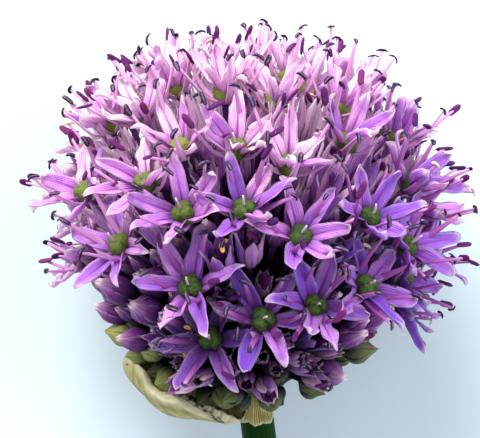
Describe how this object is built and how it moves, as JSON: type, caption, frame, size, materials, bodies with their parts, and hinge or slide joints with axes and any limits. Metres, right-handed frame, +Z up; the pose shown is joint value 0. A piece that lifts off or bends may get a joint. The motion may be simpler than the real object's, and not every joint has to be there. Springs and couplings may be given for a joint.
{
  "type": "allium flower head",
  "caption": "Round umbel of violet star-shaped florets and closed buds on fine pedicels, with a papery spathe and a length of cut scape, lying on a surface.",
  "frame": {"origin": "middle of the bottom of the part's box, on the surface that it lies on", "axes": "+Z up; the scape runs along Y, with its cut end at -Y and the flower head at +Y; +X to the right seen from above with the head away"},
  "size_m": [0.0648, 0.094, 0.0593],
  "materials": {
    "scape": "smooth waxy green stem",
    "spathe": "dry papery tan bract",
    "floret": "soft violet petals with green ovaries",
    "bud": "closed purple and green buds"
  },
  "bodies": {
    "root": {"bud_cyme_13": "bud", "bud_cyme_21": "bud", "bud_cyme_23": "bud", "bud_cyme_24": "bud", "bud_cyme_26": "bud", "bud_cyme_28": "bud", "bud_cyme_29": "bud", "bud_cyme_30": "bud", "bud_cyme_31": "bud", "bud_cyme_32": "bud", "bud_cyme_33": "bud", "bud_cyme_34": "bud", "bud_cyme_35": "bud", "bud_cyme_36": "bud", "bud_cyme_37": "bud", "bud_cyme_38": "bud", "bud_cyme_39": "bud", "bud_cyme_40": "bud", "bud_cyme_41": "bud", "bud_cyme_42": "bud", "bud_cyme_43": "bud", "bud_cyme_44": "bud", "bud_cyme_45": "bud", "bud_cyme_46": "bud", "bud_cyme_47": "bud", "bud_cyme_48": "bud", "bud_cyme_49": "bud", "bud_cyme_50": "bud", "floret_cyme_01": "floret", "floret_cyme_02": "floret", "floret_cyme_03": "floret", "floret_cyme_04": "floret", "floret_cyme_05": "floret", "floret_cyme_06": "floret", "floret_cyme_07": "floret", "floret_cyme_08": "floret", "floret_cyme_09": "floret", "floret_cyme_10": "floret", "floret_cyme_11": "floret", "floret_cyme_12": "floret", "floret_cyme_14": "floret", "floret_cyme_15": "floret", "floret_cyme_16": "floret", "floret_cyme_17": "floret", "floret_cyme_18": "floret", "floret_cyme_19": "floret", "floret_cyme_20": "floret", "floret_cyme_22": "floret", "floret_cyme_25": "floret", "floret_cyme_27": "floret", "scape": "scape", "spathe_valve_large": "spathe", "spathe_valve_small": "spathe"}
  },
  "joints": []
}
